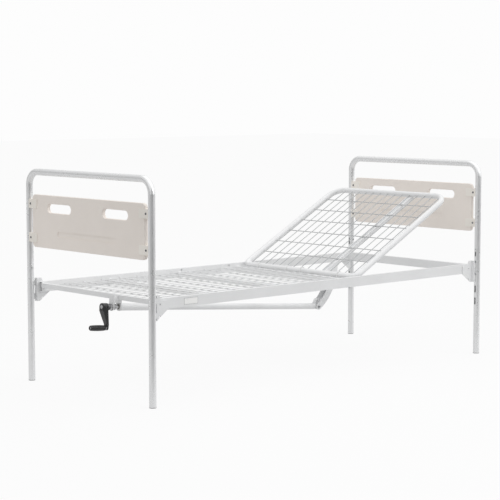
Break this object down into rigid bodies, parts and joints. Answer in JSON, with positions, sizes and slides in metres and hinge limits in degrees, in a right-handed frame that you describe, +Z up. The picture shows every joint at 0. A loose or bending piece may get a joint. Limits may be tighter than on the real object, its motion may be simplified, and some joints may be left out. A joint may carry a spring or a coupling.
{
  "type": "adjustable hospital bed",
  "caption": "Steel hospital bed with two tube bows, end panels with hand slots, a welded mesh deck and a mesh backrest raised by a hand crank, screw and lever.",
  "frame": {"origin": "centre of the whole bed's bounding box in plan, on the floor, with the crank hanging down and the backrest as stored", "axes": "+X from the crank end (foot) to the head end, +Y to the left of a person lying on their back, +Z up"},
  "size_m": [2.1894, 0.9, 0.96],
  "materials": {
    "frame_paint": "satin light grey powder coat on steel tube",
    "wire_paint": "satin light grey powder coat on steel wire",
    "panel_laminate": "fine-grained matte beige moulding",
    "clip_plastic": "matte cream moulding",
    "plug_plastic": "matte grey moulding",
    "screw_steel": "dull zinc-plated steel",
    "spindle_steel": "bright drawn steel",
    "bush_nylon": "matte natural nylon",
    "bush_bronze": "sintered bronze",
    "crank_black": "semi-gloss black paint on cast metal",
    "grip_black": "semi-gloss black plastic",
    "label_film": "plain white sticker film"
  },
  "bodies": {
    "frame": {"bow_foot": "frame_paint", "bow_head": "frame_paint", "leg_plugs": "plug_plastic", "panel_foot": "panel_laminate", "panel_head": "panel_laminate", "panel_tabs": "frame_paint", "panel_clips": "clip_plastic", "clip_screws": "screw_steel", "side_rail_left": "frame_paint", "side_rail_right": "frame_paint", "cross_rail_foot": "frame_paint", "cross_rail_head": "frame_paint", "corner_brackets": "frame_paint", "hinge_member": "frame_paint", "mesh_support_tubes": "frame_paint", "flat_long_wires": "wire_paint", "flat_cross_wires": "wire_paint", "hinge_ears": "frame_paint", "hinge_bushes": "bush_nylon", "rail_label": "label_film", "drive_hanger": "frame_paint", "hanger_bolts": "screw_steel", "screw_bushes": "bush_bronze", "guide_tube": "frame_paint"},
    "backrest": {"backrest_frame": "frame_paint", "backrest_hinge_tube": "frame_paint", "backrest_long_wires": "wire_paint", "backrest_cross_wires": "wire_paint", "backrest_support_bar": "frame_paint", "lever_arm": "frame_paint", "lever_pin": "spindle_steel"},
    "push_tube": {"push_tube": "frame_paint", "push_tube_end": "frame_paint", "screw_nut": "bush_bronze"},
    "spindle": {"screw_spindle": "spindle_steel", "thrust_collars": "spindle_steel", "crank_arm": "crank_black", "crank_roll_pin": "spindle_steel", "grip_axle": "spindle_steel"},
    "grip": {"crank_grip": "grip_black"}
  },
  "joints": [
    {"name": "backrest_hinge", "type": "hinge", "parent": "frame", "child": "backrest", "pos_m": [0.26372, 0, 0.4415], "axis": [0, -1, 0], "range_deg": [-28.3, 31.7]},
    {"name": "push_tube_slide", "type": "slide", "parent": "frame", "child": "push_tube", "axis": [0.9961, 0, -0.088], "range_m": [-0.07619, 0.08529]},
    {"name": "screw_spin", "type": "hinge", "parent": "frame", "child": "spindle", "pos_m": [-0.96128, -0.147, 0.39], "axis": [0.9961, 0, -0.088], "range_deg": [-4546.7, 5092.3]},
    {"name": "grip_spin", "type": "hinge", "parent": "spindle", "child": "grip", "pos_m": [-1.05516, -0.147, 0.30794], "axis": [0.9961, 0, -0.088], "continuous": true}
  ],
  "couplings": [
    {"joint": "push_tube_slide", "follows": "backrest_hinge", "m_per_rad": 0.15325},
    {"joint": "screw_spin", "follows": "backrest_hinge", "ratio": 160.48}
  ]
}
